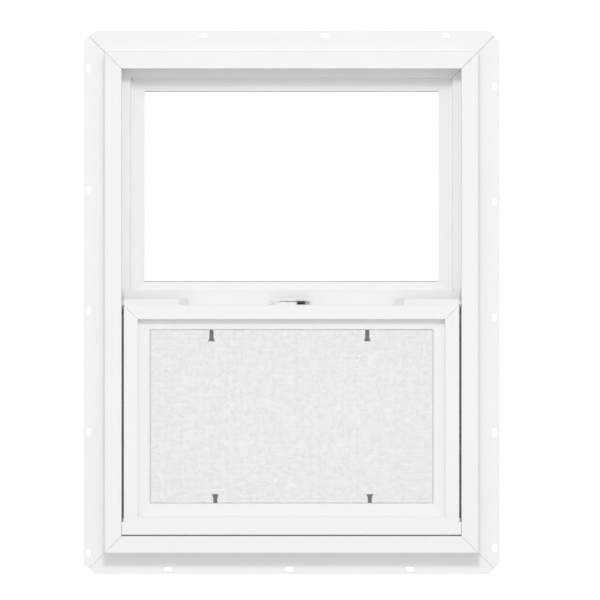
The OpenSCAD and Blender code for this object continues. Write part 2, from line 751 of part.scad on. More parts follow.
module screen_corner_keys() {
  t = screen_wall_t + 0.1;
  leg = 32;
  r = grow(screen_outline, -t);
  w = screen_tube_w - 2 * t;
  color("dimgray") placed() slab(screen_y + t, screen_y + screen_bar_t - t)
    for (c = [[r[0], r[1], 1, 1], [r[2], r[1], -1, 1], [r[2], r[3], -1, -1], [r[0], r[3], 1, -1]])
      translate([c[0], c[1]]) {
        translate([c[2] > 0 ? 0 : -leg, c[3] > 0 ? 0 : -w]) square([leg, w]);
        translate([c[2] > 0 ? 0 : -w, c[3] > 0 ? 0 : -leg]) square([w, leg]);
      }
}
module screen_spline() {
  y = mesh_y + mesh_t + spline_r;
  outer = grow(screen_outline, -spline_in + spline_r);
  color("dimgray") placed() for (side = [0 : 3])
    mitred(outer, grow(outer, -2 * spline_r), side) {
      if (side == 0) run_bottom(outer) translate([spline_r, y]) circle(spline_r);
      if (side == 1) run_right(outer) translate([spline_r, y]) circle(spline_r);
      if (side == 2) run_top(outer) translate([spline_r, y]) circle(spline_r);
      if (side == 3) run_left(outer) translate([spline_r, y]) circle(spline_r);
    }
}
module screen_mesh() {
  color([0.3, 0.3, 0.32, 0.3]) placed() plate(grow(screen_outline, -spline_in), mesh_y, mesh_y + mesh_t);
}
// A pull tab with its root on the spline and its flared end towards the screen's middle.
module pull_tab(x, root_z, tip_z) {
  s = tip_z > root_z ? 1 : -1;
  w = tab_w / 2;
  f = tab_flare_w / 2;
  color("black") placed() slab(tab_y, tab_y + tab_t)
    polygon([[x - w, root_z], [x + w, root_z], [x + w, tip_z - s * tab_flare_l], [x + f, tip_z - s],
      [x + f, tip_z], [x - f, tip_z], [x - f, tip_z - s], [x - w, tip_z - s * tab_flare_l]]);
}
tab_top_z = screen_outline[3] - spline_in + 2;
tab_bottom_z = screen_outline[1] + spline_in - 2;
module pull_tab_top_left() { pull_tab(tab_top_x[0], tab_top_z, sash_sight[3] - tab_top_show); }
module pull_tab_top_right() { pull_tab(tab_top_x[1], tab_top_z, sash_sight[3] - tab_top_show); }
module pull_tab_bottom_left() {
  pull_tab(tab_bottom_x[0], tab_bottom_z, sash_sight[1] + tab_bottom_show);
}
module pull_tab_bottom_right() {
  pull_tab(tab_bottom_x[1], tab_bottom_z, sash_sight[1] + tab_bottom_show);
}

// ---------- tilt latches ----------

module latch_plan(inset) {
  x1 = sash_x - 0.6;
  polygon([[x1 - latch_l + inset, latch_y0 + latch_slant + inset],
    [x1 - latch_l + latch_slant + inset, latch_y0 + inset], [x1 - inset, latch_y0 + inset],
    [x1 - inset, latch_y1 - inset], [x1 - latch_l + inset, latch_y1 - inset]]);
}
module latch_screw_at(grow_r) {
  x1 = sash_x - 0.6;
  for (x = [x1 - latch_l + 12, x1 - 8])
    translate([x, latch_y1 - 5, sash_z1]) cylinder(h = 2 * latch_h + 2, r = grow_r, center = true);
}
module latch_housing(sx) {
  color(vinyl) placed() mirror([sx, 0, 0]) difference() {
    translate([0, 0, sash_z1]) linear_extrude(latch_h) latch_plan(0);
    difference() {
      translate([0, 0, sash_z1 - 1]) linear_extrude(latch_h + 1 - latch_wall) latch_plan(latch_wall);
      // Screw posts stay solid inside the shell.
      for (x = [sash_x - 0.6 - latch_l + 12, sash_x - 8.6])
        translate([x, latch_y1 - 5, sash_z1]) cylinder(h = latch_h, r = screw_head_r + 0.8);
    }
    translate([sash_x - 4, bolt_y0 - 0.4, bolt_z0 - 2])
      cube([8, bolt_y1 - bolt_y0 + 0.8, bolt_h + 2.3]);
    translate([sash_x - knob_x - 0.8, bolt_y0 + 1.6, sash_z1 + latch_h - latch_wall - 1])
      cube([knob_l + latch_travel + 1.6, bolt_y1 - bolt_y0 - 3.2, latch_wall + 2]);
    latch_screw_at(screw_r);
    for (x = [sash_x - 0.6 - latch_l + 12, sash_x - 8.6])
      translate([x, latch_y1 - 5, sash_z1 + latch_h - 1.2]) cylinder(h = 3, r = screw_head_r);
  }
}
module latch_housing_left() { latch_housing(1); }
module latch_housing_right() { latch_housing(0); }
module latch_bolt(sx) {
  tip = casing_x - bolt_tip_gap;
  color("gainsboro") placed() mirror([sx, 0, 0]) {
    translate([tip - bolt_l, bolt_y0, bolt_z0]) cube([bolt_l, bolt_y1 - bolt_y0, bolt_h]);
    translate([sash_x - knob_x, bolt_y0 + 2, bolt_z0])
      cube([knob_l, bolt_y1 - bolt_y0 - 4, sash_z1 + latch_h + 1.8 - bolt_z0]);
  }
}
module latch_bolt_left() { latch_bolt(1); }
module latch_bolt_right() { latch_bolt(0); }
module latch_screw_shafts() {
  for (sx = [0, 1]) mirror([sx, 0, 0]) latch_screw_at(screw_r);
}
module latch_screws() {
  color("silver") placed() for (sx = [0, 1]) mirror([sx, 0, 0])
    for (x = [sash_x - 0.6 - latch_l + 12, sash_x - 8.6]) translate([x, latch_y1 - 5, 0]) {
      translate([0, 0, sash_z1 - 8]) cylinder(h = 8 + latch_h - 1.2, r = screw_r);
      translate([0, 0, sash_z1 + latch_h - 1.2]) cylinder(h = 1, r = screw_head_r - 0.2);
    }
}

// ---------- sweep lock ----------

lock_screw_x = lock_l / 2 - 4.5;
lock_screw_y = lock_y + 11.5;
module lock_screw_shafts() {
  for (sx = [-1, 1]) translate([sx * lock_screw_x, lock_screw_y, sash_z1 - 10])
    cylinder(h = 12, r = screw_r);
}
module lock_base() {
  color(vinyl) placed() difference() {
    union() {
      translate([-lock_l / 2, lock_y - 8, sash_z1]) cube([lock_l, 23, lock_plate_t]);
      translate([0, lock_y, sash_z1]) cylinder(h = lock_boss_h, r = lock_boss_r);
      translate([-21, lock_y - 7, sash_z1]) cube([21, 14, lock_boss_h]);
    }
    translate([0, lock_y, sash_z1 - 1]) cylinder(h = lock_boss_h + 2, r = lock_spindle_r + bore_gap);
    lock_screw_shafts();
  }
}
module lock_screws() {
  color("silver") placed() for (sx = [-1, 1]) translate([sx * lock_screw_x, lock_screw_y, 0]) {
    translate([0, 0, sash_z1 - 9]) cylinder(h = 9 + lock_plate_t, r = screw_r);
    translate([0, 0, sash_z1 + lock_plate_t]) cylinder(h = 1.2, r = screw_head_r);
  }
}
module lock_cam() {
  color("black") placed() {
    translate([0, lock_y, sash_z1 + 0.3]) cylinder(h = cam_z1 - sash_z1 - 0.3 + eps, r = lock_spindle_r);
    translate([0, lock_y, cam_z1]) cylinder(h = cam_plate_t, r = lock_boss_r);
    translate([-19, lock_y - cam_half_w, cam_z1])
      cube([19 + cam_black_r, 2 * cam_half_w, cam_plate_t]);
    translate([cam_in, lock_y - cam_half_w, cam_z0])
      cube([cam_black_r - cam_in, 2 * cam_half_w, cam_z1 + cam_plate_t - cam_z0]);
  }
}
module lock_cam_tip() {
  color("silver") placed() translate([cam_black_r, lock_y - cam_half_w + 0.4, cam_z0 + 0.2])
    cube([cam_tip_r - cam_black_r, 2 * cam_half_w - 0.8, cam_z1 + cam_plate_t - cam_z0 - 0.5]);
}
module lock_lever() {
  z = cam_z1 + cam_plate_t;
  tip_r = 4.5;
  tip_y = lock_y - 1.5;
  color(vinyl) placed() translate([0, 0, z]) linear_extrude(lever_t) {
    translate([0, lock_y]) circle(lock_boss_r + 0.5);
    translate([-lever_l + tip_r, tip_y]) circle(tip_r);
    polygon([[0, lock_y - lock_boss_r], [0, lock_y + lock_boss_r],
      [-lever_l + tip_r, tip_y + tip_r], [-lever_l + tip_r, tip_y - tip_r]]);
  }
}

frame_head();
frame_sill();
frame_jamb_left();
frame_jamb_right();
meeting_rail();
meeting_rail_pile();
upper_inner_pane();
upper_outer_pane();
upper_glass_spacer();
upper_bead_top();
upper_bead_bottom();
upper_bead_left();
upper_bead_right();
upper_setting_blocks();
lock_keeper();
keeper_screws();
coil_balance_left();
coil_balance_right();
balance_ribbon_left();
balance_ribbon_right();
screen_bar_top();
screen_bar_bottom();
screen_bar_left();
screen_bar_right();
screen_corner_keys();
screen_spline();
screen_mesh();
pull_tab_top_left();
pull_tab_top_right();
pull_tab_bottom_left();
pull_tab_bottom_right();
pivot_shoe_left();
pivot_shoe_right();
sash_top_rail();
sash_bottom_rail();
sash_stile_left();
sash_stile_right();
sash_inner_pane();
sash_outer_pane();
sash_glass_spacer();
sash_bead_top();
sash_bead_bottom();
sash_bead_left();
sash_bead_right();
sash_glazing_gasket();
sash_setting_blocks();
sash_side_piles();
sash_bottom_pile();
pivot_bar_left();
pivot_bar_right();
latch_housing_left();
latch_housing_right();
latch_bolt_left();
latch_bolt_right();
latch_screws();
lock_base();
lock_screws();
lock_lever();
lock_cam();
lock_cam_tip();
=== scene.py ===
"""Finishes, light and fine pieces of a tilt-in single-hung vinyl window.

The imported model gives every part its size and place. This script dresses those parts, and adds
the pieces that are too fine for solids: woven screen cloth, pile, screw heads, steel ribbons
and the rounded hardware that a hand touches.
"""

import json
import logging
import math
import random
from dataclasses import dataclass, field
from enum import Enum
from typing import Iterable, Sequence

import bmesh
import bpy
from mathutils import Matrix, Vector


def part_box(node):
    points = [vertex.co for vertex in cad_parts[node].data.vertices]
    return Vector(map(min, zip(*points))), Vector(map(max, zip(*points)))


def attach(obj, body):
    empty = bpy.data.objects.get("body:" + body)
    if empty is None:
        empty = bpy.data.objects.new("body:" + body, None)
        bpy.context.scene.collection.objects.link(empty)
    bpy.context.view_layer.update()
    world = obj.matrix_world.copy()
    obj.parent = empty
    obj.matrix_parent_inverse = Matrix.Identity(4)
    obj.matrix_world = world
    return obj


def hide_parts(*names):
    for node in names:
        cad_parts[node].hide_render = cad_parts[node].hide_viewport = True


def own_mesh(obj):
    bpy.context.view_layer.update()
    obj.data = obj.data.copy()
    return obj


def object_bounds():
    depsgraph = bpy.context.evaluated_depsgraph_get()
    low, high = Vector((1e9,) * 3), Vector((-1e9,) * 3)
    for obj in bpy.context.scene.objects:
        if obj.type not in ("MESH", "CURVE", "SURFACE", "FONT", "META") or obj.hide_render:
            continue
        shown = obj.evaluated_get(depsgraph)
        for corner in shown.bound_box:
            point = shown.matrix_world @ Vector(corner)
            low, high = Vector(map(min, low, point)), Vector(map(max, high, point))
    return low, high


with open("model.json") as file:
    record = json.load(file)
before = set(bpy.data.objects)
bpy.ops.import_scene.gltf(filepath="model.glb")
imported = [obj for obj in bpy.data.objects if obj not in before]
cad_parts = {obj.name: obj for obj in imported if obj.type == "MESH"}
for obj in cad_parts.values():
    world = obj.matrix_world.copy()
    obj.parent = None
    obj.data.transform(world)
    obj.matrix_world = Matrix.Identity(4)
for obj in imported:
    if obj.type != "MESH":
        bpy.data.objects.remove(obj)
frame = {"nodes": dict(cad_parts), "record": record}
CAD_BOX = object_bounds()

log = logging.getLogger("window")

SEED = 24
INCH = 0.0254


class Side(Enum):
    """The two sides of the window, seen from the room."""

    LEFT = -1
    RIGHT = 1

    @property
    def label(self) -> str:
        """The word that node names end in."""
        return self.name.lower()


class Body(Enum):
    """The rigid bodies that the added pieces ride on by name."""

    FRAME = "frame"
    SASH = "sash"
    LOCK = "lock"


def node_box(name: str) -> tuple[Vector, Vector]:
    """Reads a CAD node's box.

    Args:
        name: The node's name.

    Returns:
        Its lowest and highest corners, in metres.
    """
    low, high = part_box(name)
    return Vector(low), Vector(high)


def body_of_node(name: str) -> str:
    """Finds the body that a node belongs to.

    Args:
        name: The node's name.

    Returns:
        The body's name.
    """
    bodies = frame["record"]["behaviour"]["bodies"]
    return next(body for body, nodes in bodies.items() if name in nodes)


# ---------------------------------------------------------------- finishes


class Nodes:
    """A node tree, with short calls that add and link nodes."""

    def __init__(self, tree: bpy.types.NodeTree) -> None:
        """Empties the tree.

        Args:
            tree: The tree to work on.
        """
        self.tree = tree
        self.tree.nodes.clear()

    def add(self, kind: str, **settings: object) -> bpy.types.Node:
        """Adds a node.

        Args:
            kind: The node's type name.
            **settings: Attributes to set on it.

        Returns:
            The new node.
        """
        node = self.tree.nodes.new(kind)
        for key, value in settings.items():
            setattr(node, key, value)
        return node

    def link(self, source: bpy.types.Node, out: str | int,
             target: bpy.types.Node, into: str | int) -> None:
        """Links an output of one node into an input of another.

        Args:
            source: The node that gives the value.
            out: Its output.
            target: The node that takes the value.
            into: Its input.
        """
        self.tree.links.new(source.outputs[out], target.inputs[into])

    def math(self, operation: str, *terms: object) -> bpy.types.Node:
        """Adds a math node.

        Args:
            operation: The operation's name.
            *terms: Numbers, or pairs of a node and its output.

        Returns:
            The math node.
        """
        node = self.add("ShaderNodeMath", operation=operation)
        for i, term in enumerate(terms):
            if isinstance(term, tuple):
                self.link(term[0], term[1], node, i)
            else:
                node.inputs[i].default_value = term
        return node


class NodeGraph(Nodes):
    """A material's nodes: a Principled shader and what feeds it."""

    def __init__(self, name: str) -> None:
        """Starts a material with a Principled shader.

        Args:
            name: The material's name.
        """
        self.material = bpy.data.materials.new(name)
        self.material.use_nodes = True
        super().__init__(self.material.node_tree)
        self.output = self.add("ShaderNodeOutputMaterial")
        self.shader = self.add("ShaderNodeBsdfPrincipled")
        self.link(self.shader, "BSDF", self.output, "Surface")
        self.coords = self.add("ShaderNodeTexCoord")

    def noise(self, scale: float, detail: float = 2.0,
              stretch: Sequence[float] = (1, 1, 1)) -> bpy.types.Node:
        """Adds object-space noise.

        Args:
            scale: Features per metre.
            detail: Octaves of detail.
            stretch: Scale along X, Y and Z.

        Returns:
            The noise node.
        """
        mapping = self.add("ShaderNodeMapping")
        mapping.inputs["Scale"].default_value = stretch
        self.link(self.coords, "Object", mapping, "Vector")
        noise = self.add("ShaderNodeTexNoise")
        noise.inputs["Scale"].default_value = scale
        noise.inputs["Detail"].default_value = detail
        self.link(mapping, "Vector", noise, "Vector")
        return noise

    def ramp(self, source: bpy.types.Node, out: str | int, low: Sequence[float],
             high: Sequence[float], start: float = 0.3, stop: float = 0.7) -> bpy.types.Node:
        """Adds a two-colour ramp over a value.

        Args:
            source: The node that gives the value.
            out: Its output.
            low: The colour below the start.
            high: The colour above the stop.
            start: The value at which the ramp starts.
            stop: The value at which it ends.

        Returns:
            The ramp node.
        """
        ramp = self.add("ShaderNodeValToRGB")
        ramp.color_ramp.elements[0].position = start
        ramp.color_ramp.elements[1].position = stop
        ramp.color_ramp.elements[0].color = (*low, 1)
        ramp.color_ramp.elements[1].color = (*high, 1)
        self.link(source, out, ramp, "Fac")
        return ramp

    def span(self, source: bpy.types.Node, out: str | int, low: float, high: float,
             to_low: float, to_high: float) -> bpy.types.Node:
        """Adds a node that maps one span of values onto another.

        Args:
            source: The node that gives the value.
            out: Its output.
            low: Where the first span starts.
            high: Where it ends.
            to_low: Where the second span starts.
            to_high: Where it ends.

        Returns:
            The mapping node.
        """
        node = self.add("ShaderNodeMapRange")
        self.link(source, out, node, "Value")
        ends = {"From Min": low, "From Max": high, "To Min": to_low, "To Max": to_high}
        for key, value in ends.items():
            node.inputs[key].default_value = value
        return node

    def bump(self, source: bpy.types.Node, out: str | int, strength: float, height: float,
             under: bpy.types.Node | None = None) -> bpy.types.Node:
        """Adds bump from a value and gives it to the shader.

        Args:
            source: The node that gives the height.
            out: Its output.
            strength: Bump strength, 0 to 1.
            height: Height of a full step, in metres.
            under: A bump node that this one is laid over.

        Returns:
            The bump node.
        """
        bump = self.add("ShaderNodeBump")
        bump.inputs["Strength"].default_value = strength
        bump.inputs["Distance"].default_value = height
        self.link(source, out, bump, "Height")
        if under:
            self.link(under, "Normal", bump, "Normal")
        self.link(bump, "Normal", self.shader, "Normal")
        return bump


@dataclass(frozen=True)
class Finish:
    """A plain surface with slight variation in colour and roughness, and fine bump."""

    name: str
    colour: tuple[float, float, float]
    roughness: float = 0.4
    metallic: float = 0.0
    specular: float = 0.5
    coat: float = 0.0
    shade: float = 0.03
    mottle_scale: float = 30.0
    grain_scale: float = 900.0
    grain_height: float = 0.00002
    grain_strength: float = 0.15
    stretch: tuple[float, float, float] = (1, 1, 1)

    def build(self) -> bpy.types.Material:
        """Makes the material.

        Returns:
            The new material.
        """
        graph = NodeGraph(self.name)
        shader = graph.shader
        shader.inputs["Metallic"].default_value = self.metallic
        shader.inputs["Specular IOR Level"].default_value = self.specular
        shader.inputs["Coat Weight"].default_value = self.coat
        shader.inputs["Coat Roughness"].default_value = 0.2
        mottle = graph.noise(self.mottle_scale, 3.0, self.stretch)
        low = tuple(c * (1 - self.shade) for c in self.colour)
        high = tuple(min(1.0, c * (1 + self.shade * 0.5)) for c in self.colour)
        tone = graph.ramp(mottle, "Fac", low, high)
        graph.link(tone, "Color", shader, "Base Color")
        rough = graph.ramp(mottle, "Fac", (self.roughness * 0.9,) * 3,
                           (min(1, self.roughness * 1.1),) * 3)
        graph.link(rough, "Color", shader, "Roughness")
        grain = graph.noise(self.grain_scale, 4.0, self.stretch)
        graph.bump(grain, "Fac", self.grain_strength, self.grain_height)
        return graph.material


@dataclass(frozen=True)
class WeldSeam:
    """Where the 45 degree weld lines of a rectangular frame lie, and how they look.

    The lines are plainest at the upper corners; the lower left corner is cleaned almost flush.
    """

    half_width: float
    bottom: float
    top: float
    line: float = 0.00034
    tone: float = 0.62
    darkest: float = 0.7
    lightest: float = 1.6
    soft_edge: float = 2.4
    patches: float = 60.0
    right_side: float = 0.65

    def shade(self, graph: NodeGraph) -> bpy.types.Node:
        """Adds nodes that darken a surface along the weld lines.

        Args:
            graph: The tree to add to.

        Returns:
            A node whose first output is 1 off the lines and falls to the tone on them.
        """
        axes = graph.add("ShaderNodeSeparateXYZ")
        graph.link(graph.coords, "Object", axes, "Vector")
        reach = graph.math("ABSOLUTE", (axes, "X"))
        from_side = graph.math("SUBTRACT", self.half_width, (reach, 0))
        from_bottom = graph.math("SUBTRACT", (axes, "Z"), self.bottom)
        from_top = graph.math("SUBTRACT", self.top, (axes, "Z"))
        from_end = graph.math("MINIMUM", (from_bottom, 0), (from_top, 0))
        away = graph.math("ABSOLUTE", (graph.math("SUBTRACT", (from_side, 0), (from_end, 0)), 0))
        patchy = graph.noise(self.patches, 2.0)
        floor = graph.span(patchy, "Fac", 0.35, 0.65, self.tone * self.darkest,
                           min(1.0, self.tone * self.lightest))
        line = graph.span(away, 0, self.line, self.line * self.soft_edge, 0.0, 1.0)
        rise = graph.math("MULTIPLY", (axes, "Z"), 1 / self.top)
        right = graph.math("MULTIPLY", (axes, "X"), self.right_side / self.half_width)
        worn = graph.math("MAXIMUM", (rise, 0), (right, 0))
        missing = graph.math("MULTIPLY", (graph.math("SUBTRACT", 1.0, (line, 0)), 0), (worn, 0))
        depth = graph.math("MULTIPLY", (missing, 0), (graph.math("SUBTRACT", 1.0, (floor, 0)), 0))
        return graph.math("SUBTRACT", 1.0, (depth, 0))


@dataclass(frozen=True)
class VinylFinish:
    """Extruded white vinyl: a satin skin, faint die lines along the length and slow waviness."""

    name: str
    seam: WeldSeam | None = None
    colour: tuple[float, float, float] = (0.902, 0.905, 0.905)
    roughness: float = 0.5
    along: str = "Z"
    edge_radius: float = 0.0005

    def build(self) -> bpy.types.Material:
        """Makes the material.

        Returns:
            The new material.
        """
        graph = NodeGraph(self.name)
        shader = graph.shader
        shader.inputs["Specular IOR Level"].default_value = 0.35
        stretch = {"X": (0.02, 1, 1), "Y": (1, 0.02, 1), "Z": (1, 1, 0.02)}[self.along]
        mottle = graph.noise(14.0, 3.0)
        shaded = tuple(c * 0.99 for c in self.colour)
        tone = graph.ramp(mottle, "Fac", shaded, self.colour, 0.35, 0.65)
        if self.seam:
            scale = graph.add("ShaderNodeVectorMath", operation="SCALE")
            graph.link(tone, "Color", scale, 0)
            graph.link(self.seam.shade(graph), 0, scale, "Scale")
            graph.link(scale, 0, shader, "Base Color")
        else:
            graph.link(tone, "Color", shader, "Base Color")
        rough = graph.ramp(mottle, "Fac", (self.roughness * 0.92,) * 3, (self.roughness * 1.1,) * 3)
        graph.link(rough, "Color", shader, "Roughness")
        edge = graph.add("ShaderNodeBevel", samples=4)
        edge.inputs["Radius"].default_value = self.edge_radius
        wave = graph.noise(28.0, 2.0)
        wavy = graph.bump(wave, "Fac", 0.10, 0.00012, edge)
        lines = graph.noise(1300.0, 2.0, stretch)
        lined = graph.bump(lines, "Fac", 0.12, 0.000015, wavy)
        skin = graph.noise(2600.0, 3.0)
        graph.bump(skin, "Fac", 0.06, 0.00001, lined)
        return graph.material


@dataclass(frozen=True)
class GlassFinish:
    """Clear float glass with the faint green of its edge."""

    name: str
    colour: tuple[float, float, float] = (0.993, 0.996, 0.994)

    def build(self) -> bpy.types.Material:
        """Makes the material.

        Returns:
            The new material.
        """
        graph = NodeGraph(self.name)
        shader = graph.shader
        shader.inputs["Base Color"].default_value = (*self.colour, 1)
        shader.inputs["Roughness"].default_value = 0.0
        shader.inputs["IOR"].default_value = 1.5
        shader.inputs["Transmission Weight"].default_value = 1.0
        ripple = graph.noise(3.0, 1.0)
        graph.bump(ripple, "Fac", 0.02, 0.0001)
        return graph.material


@dataclass(frozen=True)
class YarnFinish:
    """Coated glass yarn, whose tone wanders in short streaks along each strand."""

    name: str
    dark: tuple[float, float, float] = (0.015, 0.015, 0.016)
    light: tuple[float, float, float] = (0.36, 0.352, 0.358)
    streaks: float = 560.0
    slender: float = 0.2

    def build(self) -> bpy.types.Material:
        """Makes the material.

        Returns:
            The new material.
        """
        graph = NodeGraph(self.name)
        upright = graph.noise(self.streaks, 2.0, (1, 1, self.slender))
        level = graph.noise(self.streaks, 2.0, (self.slender, 1, 1))
        both = graph.math("ADD", (graph.math("MULTIPLY", (upright, "Fac"), 0.45), 0),
                          (graph.math("MULTIPLY", (level, "Fac"), 0.55), 0))
        tone = graph.ramp(both, 0, self.dark, self.light, 0.42, 0.60)
        graph.link(tone, "Color", graph.shader, "Base Color")
        graph.shader.inputs["Roughness"].default_value = 0.6
        twist = graph.noise(4000.0, 2.0)
        graph.bump(twist, "Fac", 0.3, 0.00003)
        return graph.material


@dataclass(frozen=True)
class RibbedFinish:
    """Black rubber cord or strip with fine ribs across it."""

    name: str
    colour: tuple[float, float, float] = (0.02, 0.02, 0.022)
    rib_scale: float = 30.0

    def build(self) -> bpy.types.Material:
        """Makes the material.

        Returns:
            The new material.
        """
        graph = NodeGraph(self.name)
        shader = graph.shader
        mottle = graph.noise(60.0, 3.0)
        tone = graph.ramp(mottle, "Fac", tuple(c * 0.7 for c in self.colour),
                          tuple(c * 1.4 for c in self.colour))
        graph.link(tone, "Color", shader, "Base Color")
        shader.inputs["Roughness"].default_value = 0.62
        ribs = graph.add("ShaderNodeTexWave", wave_type="BANDS", bands_direction="DIAGONAL")
        ribs.inputs["Scale"].default_value = self.rib_scale
        graph.link(graph.coords, "Object", ribs, "Vector")
        ribbed = graph.bump(ribs, "Fac", 0.3, 0.0002)
        grain = graph.noise(1500.0, 3.0)
        graph.bump(grain, "Fac", 0.2, 0.00003, ribbed)
        return graph.material


STILE_BOX = node_box("sash_stile_right")
FRAME_SEAM = WeldSeam(CAD_BOX[1][0], CAD_BOX[0][2], CAD_BOX[1][2])
SASH_SEAM = WeldSeam(STILE_BOX[1].x, STILE_BOX[0].z, STILE_BOX[1].z, 0.0002, 0.9)
FRAME_UPRIGHT = VinylFinish("frame_vinyl_upright", FRAME_SEAM, along="Z")
FRAME_LEVEL = VinylFinish("frame_vinyl_level", FRAME_SEAM, along="X")
SASH_UPRIGHT = VinylFinish("sash_vinyl_upright", SASH_SEAM, along="Z")
SASH_LEVEL = VinylFinish("sash_vinyl_level", SASH_SEAM, along="X")
BEAD_UPRIGHT = VinylFinish("bead_vinyl_upright", along="Z")
BEAD_LEVEL = VinylFinish("bead_vinyl_level", along="X")
GLASS = GlassFinish("float_glass")
WHITE_NYLON = Finish("white_nylon", (0.87, 0.865, 0.885), 0.4, shade=0.012, grain_scale=1600.0)
WHITE_ENAMEL = Finish("white_enamel", (0.89, 0.89, 0.89), 0.3, shade=0.012, coat=0.2)
GREY_NYLON = Finish("grey_nylon", (0.20, 0.205, 0.21), 0.45, shade=0.08)
PULL_TAB_VINYL = Finish("pull_tab_vinyl", (0.012, 0.012, 0.013), 0.5, specular=0.4, shade=0.2)
SCREEN_ENAMEL = Finish("screen_bar_enamel", (0.86, 0.865, 0.86), 0.3, shade=0.02, coat=0.15)
SPACER_ALUMINIUM = Finish("spacer_aluminium", (0.72, 0.73, 0.74), 0.34, metallic=1.0, shade=0.06,
                          mottle_scale=200.0)
STEEL = Finish("zinc_plated_steel", (0.62, 0.62, 0.63), 0.28, metallic=1.0, shade=0.08,
               mottle_scale=160.0)
SPRING_STEEL = Finish("spring_steel", (0.52, 0.53, 0.55), 0.22, metallic=1.0, shade=0.06,
                      mottle_scale=120.0, stretch=(1, 1, 0.1))
CAM_ZINC = Finish("cam_zinc", (0.36, 0.36, 0.365), 0.5, metallic=0.3, shade=0.1, mottle_scale=200.0)
CAST_BLACK = Finish("cast_black", (0.012, 0.012, 0.013), 0.42, shade=0.3, grain_scale=1200.0,
                    grain_height=0.00005, grain_strength=0.3)
RUBBER = RibbedFinish("glazing_rubber")
GASKET_RUBBER = RibbedFinish("gasket_rubber", (0.42, 0.42, 0.42), 35.0)
SPLINE_VINYL = RibbedFinish("spline_vinyl", (0.035, 0.035, 0.038), 45.0)
PILE_YARN = Finish("pile_yarn", (0.33, 0.335, 0.34), 0.9, shade=0.25, mottle_scale=700.0)
SCREEN_YARN = YarnFinish("screen_yarn")
FLOOR_PAINT = Finish("floor_paint", (0.94, 0.94, 0.935), 0.7, shade=0.01, mottle_scale=2.0)


class Wardrobe:
    """Makes each finish once and puts it on objects."""

    def __init__(self) -> None:
        """Starts with no finish made."""
        self._made: dict[str, bpy.types.Material] = {}

    def get(self, finish: object) -> bpy.types.Material:
        """Makes a finish's material, or gives the one already made.

        Args:
            finish: A finish with a name and a build method.

        Returns:
            The material.
        """
        if finish.name not in self._made:
            self._made[finish.name] = finish.build()
        return self._made[finish.name]

    def dress(self, obj: bpy.types.Object, finish: object) -> None:
        """Puts one finish on every slot of an object.

        Args:
            obj: The object.
            finish: The finish.
        """
        material = self.get(finish)
        if not obj.material_slots:
            obj.data.materials.append(material)
        for slot in obj.material_slots:
            slot.material = material

    def dress_nodes(self, finish: object, names: Iterable[str]) -> None:
        """Puts a finish on CAD nodes.

        Args:
            finish: The finish.
            names: The nodes' names.
        """
        for name in names:
            self.dress(frame["nodes"][name], finish)
            log.info("finish %s on %s", finish.name, name)


WARDROBE = Wardrobe()


# ---------------------------------------------------------------- shop tools


class Shop:
    """Turns bmeshes into pieces of the window."""

    @staticmethod
    def finish_piece(name: str, bm: bmesh.types.BMesh, body: str, slot: str, finish: object,
                     replaces: Sequence[str] = (), smooth: float | None = 35.0) -> bpy.types.Object:
        """Makes a piece from a bmesh.

        Args:
            name: The piece's name.
            bm: Its mesh, in place; it is freed.
            body: The body it rides on.
            slot: The record's material slot; not used.
            finish: Its finish.
            replaces: The CAD nodes that it stands for.
            smooth: The greatest angle that is shaded smooth, in degrees, or None for flat.

        Returns:
            The new object.
        """
        mesh = bpy.data.meshes.new(name)
        if smooth is not None:
            for face in bm.faces:
                face.smooth = True
            for edge in bm.edges:
                bend = edge.calc_face_angle(0)
                edge.smooth = len(edge.link_faces) == 2 and bend < math.radians(smooth)
        bm.to_mesh(mesh)
        bm.free()
        obj = bpy.data.objects.new(name, mesh)
        bpy.context.scene.collection.objects.link(obj)
        WARDROBE.dress(obj, finish)
        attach(obj, body)
        if replaces:
            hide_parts(*replaces)
        log.info("piece %s on %s, %d faces", name, body, len(mesh.polygons))
        return obj

    @staticmethod
    def add_box(bm: bmesh.types.BMesh, low: Sequence[float], high: Sequence[float]) -> None:
        """Adds a box to a bmesh.

        Args:
            bm: The bmesh.
            low: The lowest corner.
            high: The highest corner.
        """
        low, high = Vector(low), Vector(high)
        place = Matrix.Translation((low + high) / 2) @ Matrix.Diagonal((*(high - low), 1))
        bmesh.ops.create_cube(bm, size=1.0, matrix=place)

    @staticmethod
    def round_edges(bm: bmesh.types.BMesh, radius: float, segments: int = 2) -> None:
        """Bevels the sharp edges to a small radius.

        Args:
            bm: The bmesh.
            radius: The bevel's width.
            segments: Steps across the bevel.
        """
        edges = [e for e in bm.edges if e.calc_face_angle(0) > math.radians(30)]
        bmesh.ops.bevel(bm, geom=edges, offset=radius, segments=segments, profile=0.5,
                        affect="EDGES", material=-1, clamp_overlap=True)

    @staticmethod
    def prism(bm: bmesh.types.BMesh, outline: Sequence[Sequence[float]], step: Sequence[float]) -> None:
        """Extrudes a closed outline into a prism.

        Args:
            bm: The bmesh.
            outline: The corners, in order.
            step: The way and length of the extrusion.
        """
        face = bm.faces.new([bm.verts.new(p) for p in outline])
        top = bmesh.ops.extrude_face_region(bm, geom=[face])["geom"]
        bmesh.ops.translate(bm, vec=step, verts=[v for v in top if isinstance(v, bmesh.types.BMVert)])
        bmesh.ops.recalc_face_normals(bm, faces=bm.faces)


# ---------------------------------------------------------------- insect screen


